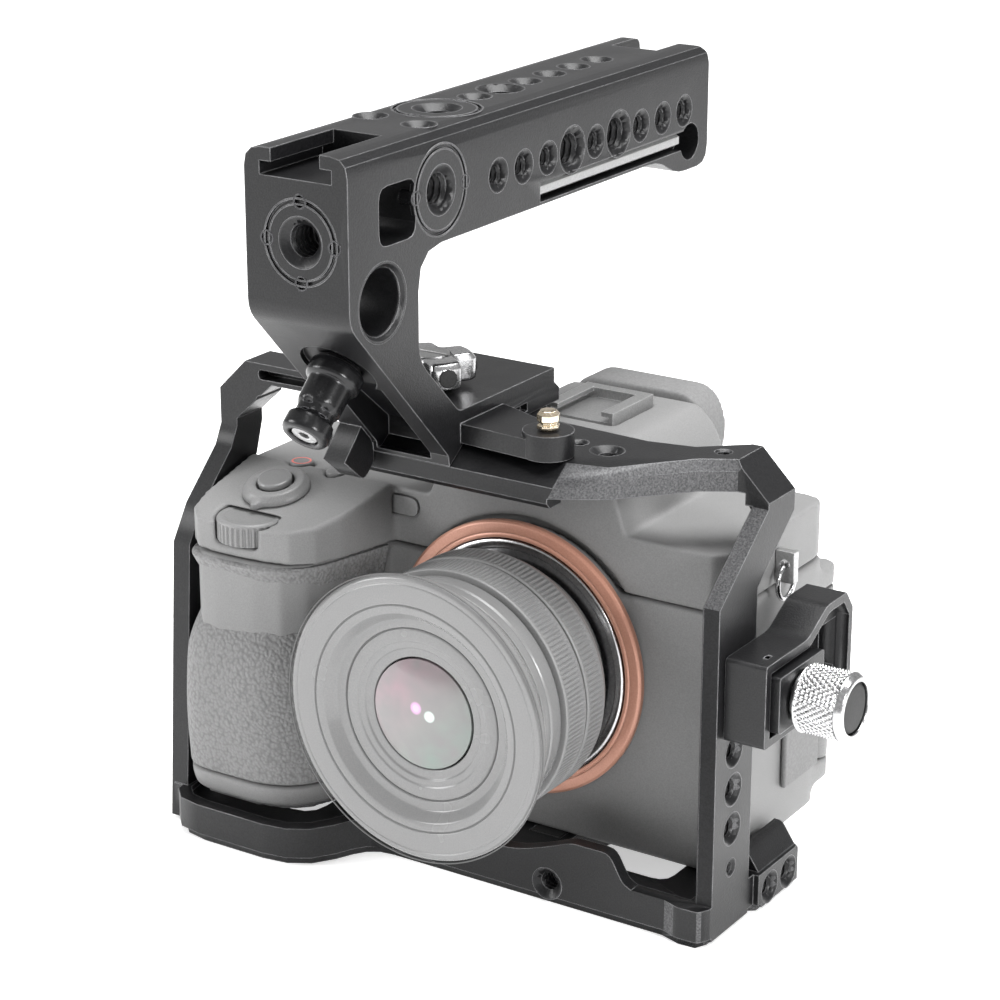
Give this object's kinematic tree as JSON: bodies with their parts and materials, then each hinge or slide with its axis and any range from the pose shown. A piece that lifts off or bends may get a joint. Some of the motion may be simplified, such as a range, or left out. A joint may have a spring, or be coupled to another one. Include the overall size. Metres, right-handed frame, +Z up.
{
  "type": "cinema camera rig",
  "caption": "Mirrorless cinema camera in a machined half cage with a cantilevered top handle, star knob, rod clamp screw, cable clamp on the side and a short wide lens.",
  "frame": {"origin": "on the underside of the base plate, below the lens axis, in the plane of the sensor's front face", "axes": "+X towards the column and the cable clamp, +Y from the lens towards the screen, +Z up"},
  "size_m": [0.172, 0.1562, 0.1825],
  "materials": {
    "anodised_frame": "bead-blasted dark anodised aluminium",
    "bright_steel": "machined, slightly worn",
    "black_steel": "blackened steel",
    "pin_brass": "satin",
    "key_grey": "satin pale grey",
    "pad_rubber": "matte",
    "camera_shell": "fine-textured pale grey paint",
    "grip_leather": "leather-grained",
    "mount_orange": "satin orange-pink",
    "lens_glass": "coated, polished"
  },
  "bodies": {
    "rig": {"cage_frame": "anodised_frame", "foot_pad_left": "pad_rubber", "foot_pad_right": "pad_rubber", "tripod_screw": "bright_steel", "rail": "anodised_frame", "rail_screw_front": "bright_steel", "rail_screw_back": "bright_steel", "handle_body": "anodised_frame", "handle_side_screw": "black_steel", "clamp_body": "anodised_frame", "clamp_screw_lower": "black_steel", "clamp_screw_upper": "black_steel", "camera_body": "camera_shell", "grip_cover": "grip_leather", "top_cover": "camera_shell", "eyecup": "pad_rubber", "hot_shoe": "bright_steel", "lamp_window": "lens_glass", "strap_lug": "bright_steel", "mount_ring": "mount_orange", "bayonet_ring": "bright_steel", "sensor": "lens_glass", "lens_barrel": "camera_shell", "lens_front_ring": "camera_shell", "front_element": "lens_glass", "inner_element": "lens_glass"},
    "star_washer": {"star_knob_washer": "black_steel"},
    "star": {"star_knob": "bright_steel", "star_knob_screw": "bright_steel", "star_knob_plug_a": "pad_rubber", "star_knob_plug_b": "pad_rubber", "star_knob_plug_c": "pad_rubber", "star_knob_plug_d": "pad_rubber"},
    "pin": {"locating_pin": "pin_brass"},
    "rod_washer": {"thumbscrew_washer": "bright_steel"},
    "rod_screw": {"thumbscrew_knob": "black_steel", "thumbscrew_stud": "bright_steel"},
    "key": {"hex_key": "key_grey"},
    "jaw": {"clamp_jaw": "anodised_frame"},
    "jaw_knob": {"clamp_knob": "bright_steel", "clamp_knob_cap": "pad_rubber"},
    "front_wheel": {"front_dial": "key_grey"},
    "mode_wheel": {"mode_dial": "key_grey"},
    "exposure_wheel": {"exposure_dial": "key_grey"},
    "rear_wheel": {"rear_dial": "key_grey"},
    "shutter": {"shutter_button": "key_grey"},
    "power": {"power_lever": "key_grey"},
    "record": {"record_button": "key_grey"},
    "custom": {"custom_button": "key_grey"},
    "side_door": {"port_door": "grip_leather"},
    "ring": {"strap_ring": "bright_steel"},
    "screen": {"screen_panel": "camera_shell", "screen_glass": "lens_glass", "screen_arm": "grip_leather"},
    "lens_release": {"lens_release_button": "key_grey"},
    "aperture": {"aperture_ring": "key_grey"},
    "focus": {"focus_ring": "key_grey"}
  },
  "joints": [
    {"name": "star_lift", "type": "slide", "parent": "rig", "child": "star_washer", "axis": [0, 0, 1], "range_m": [0, 0.0021]},
    {"name": "star_turn", "type": "hinge", "parent": "star_washer", "child": "star", "pos_m": [-0.022, -0.02, 0.12], "axis": [0, 0, 1], "range_deg": [0, 1082]},
    {"name": "pin_lift", "type": "slide", "parent": "rig", "child": "pin", "axis": [0, 0, 1], "range_m": [0, 0.003], "stiffness_N_per_m": 400},
    {"name": "rod_screw_travel", "type": "slide", "parent": "rig", "child": "rod_washer", "axis": [0, -0.7431, -0.6691], "range_m": [0, 0.0035]},
    {"name": "rod_screw_turn", "type": "hinge", "parent": "rod_washer", "child": "rod_screw", "pos_m": [-0.0195, -0.0586, 0.1323], "axis": [0, -0.7431, -0.6691], "range_deg": [0, 1803]},
    {"name": "key_pull", "type": "slide", "parent": "rig", "child": "key", "axis": [1, 0, 0], "range_m": [0, 0.012]},
    {"name": "jaw_open", "type": "slide", "parent": "rig", "child": "jaw", "axis": [1, 0, 0], "range_m": [0, 0.0028]},
    {"name": "jaw_knob_turn", "type": "hinge", "parent": "jaw", "child": "jaw_knob", "pos_m": [0.08, -0.0146, 0.0596], "axis": [1, 0, 0], "range_deg": [0, 1442]},
    {"name": "front_wheel_turn", "type": "hinge", "parent": "rig", "child": "front_wheel", "pos_m": [-0.0625, -0.0372, 0.0799], "axis": [0, 0, 1], "continuous": true},
    {"name": "mode_wheel_turn", "type": "hinge", "parent": "rig", "child": "mode_wheel", "pos_m": [-0.044, 0.005, 0.088], "axis": [0, 0, 1], "continuous": true},
    {"name": "exposure_wheel_turn", "type": "hinge", "parent": "rig", "child": "exposure_wheel", "pos_m": [-0.064, 0.008, 0.088], "axis": [0, 0, 1], "continuous": true},
    {"name": "rear_wheel_turn", "type": "hinge", "parent": "rig", "child": "rear_wheel", "pos_m": [-0.05, 0.0331, 0.083], "axis": [1, 0, 0], "continuous": true},
    {"name": "shutter_press", "type": "slide", "parent": "rig", "child": "shutter", "axis": [0, 0.2419, -0.9703], "range_m": [0, 0.0008], "stiffness_N_per_m": 600},
    {"name": "power_turn", "type": "hinge", "parent": "rig", "child": "power", "pos_m": [-0.0625, -0.027, 0.08576], "axis": [0, -0.2419, 0.9703], "range_deg": [0, 30]},
    {"name": "record_press", "type": "slide", "parent": "rig", "child": "record", "axis": [0, 0, -1], "range_m": [0, 0.0008], "stiffness_N_per_m": 600},
    {"name": "custom_press", "type": "slide", "parent": "rig", "child": "custom", "axis": [0, 0, -1], "range_m": [0, 0.0008], "stiffness_N_per_m": 600},
    {"name": "side_door_open", "type": "hinge", "parent": "rig", "child": "side_door", "pos_m": [0.0538, 0.0321, 0.041], "axis": [0, 0, 1], "range_deg": [0, 100]},
    {"name": "ring_swing", "type": "hinge", "parent": "rig", "child": "ring", "pos_m": [0.05615, 0.01, 0.0797], "axis": [0, -1, 0], "range_deg": [0, 22]},
    {"name": "screen_open", "type": "hinge", "parent": "rig", "child": "screen", "pos_m": [0.05, 0.04, 0.0414], "axis": [0, 0, -1], "range_deg": [0, 170]},
    {"name": "lens_release_press", "type": "slide", "parent": "rig", "child": "lens_release", "axis": [0, 1, 0], "range_m": [0, 0.0008], "stiffness_N_per_m": 600},
    {"name": "aperture_turn", "type": "hinge", "parent": "rig", "child": "aperture", "pos_m": [0, -0.031, 0.053], "axis": [0, -1, 0], "range_deg": [0, 60]},
    {"name": "focus_turn", "type": "hinge", "parent": "rig", "child": "focus", "pos_m": [0, -0.0395, 0.053], "axis": [0, -1, 0], "continuous": true}
  ],
  "couplings": [
    {"joint": "star_turn", "follows": "star_lift", "rad_per_m": 8976},
    {"joint": "rod_screw_turn", "follows": "rod_screw_travel", "rad_per_m": 8976},
    {"joint": "jaw_knob_turn", "follows": "jaw_open", "rad_per_m": 8976}
  ]
}
